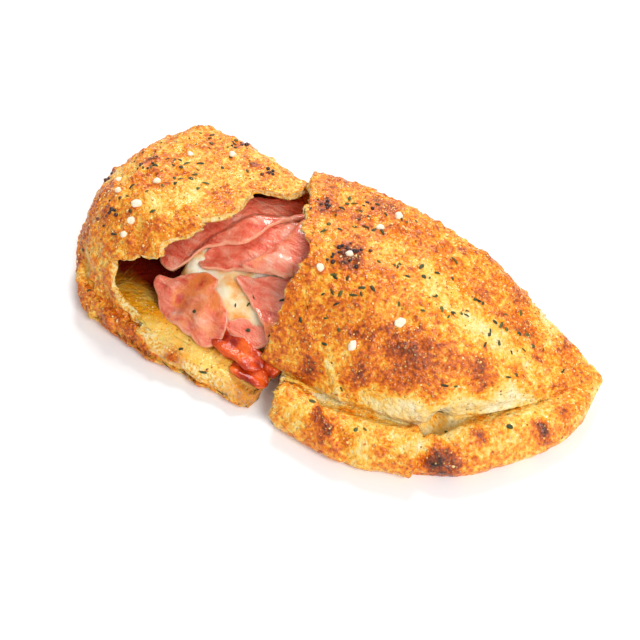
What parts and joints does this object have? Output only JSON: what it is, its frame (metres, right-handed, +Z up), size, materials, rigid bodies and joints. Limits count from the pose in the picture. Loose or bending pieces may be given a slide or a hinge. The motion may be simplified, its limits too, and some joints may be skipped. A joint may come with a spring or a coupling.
{
  "type": "panzerotto",
  "caption": "Baked folded turnover torn in two across the middle, with crimped edge, herbed crust, and a filling of ham, melted mozzarella and tomato bridging the tear.",
  "frame": {"origin": "middle of the underside of the loaf's bounding box, on the surface that it lies on", "axes": "+X along the loaf towards its pointed closed end, +Y from the crimped edge towards the rounded back, +Z up"},
  "size_m": [0.245, 0.1122, 0.0528],
  "materials": {
    "crust": "baked dough, dry, gritty, golden to dark brown",
    "cheese": "melted cheese, soft gloss",
    "ham": "cooked ham, moist",
    "tomato": "cooked tomato, wet"
  },
  "bodies": {
    "root": {"crust_left": "crust", "crust_right": "crust", "mozzarella": "cheese", "ham_top": "ham", "ham_second": "ham", "ham_fold": "ham", "ham_left": "ham", "ham_right": "ham", "ham_low": "ham", "tomato_long": "tomato", "tomato_short": "tomato", "tomato_end": "tomato"}
  },
  "joints": []
}
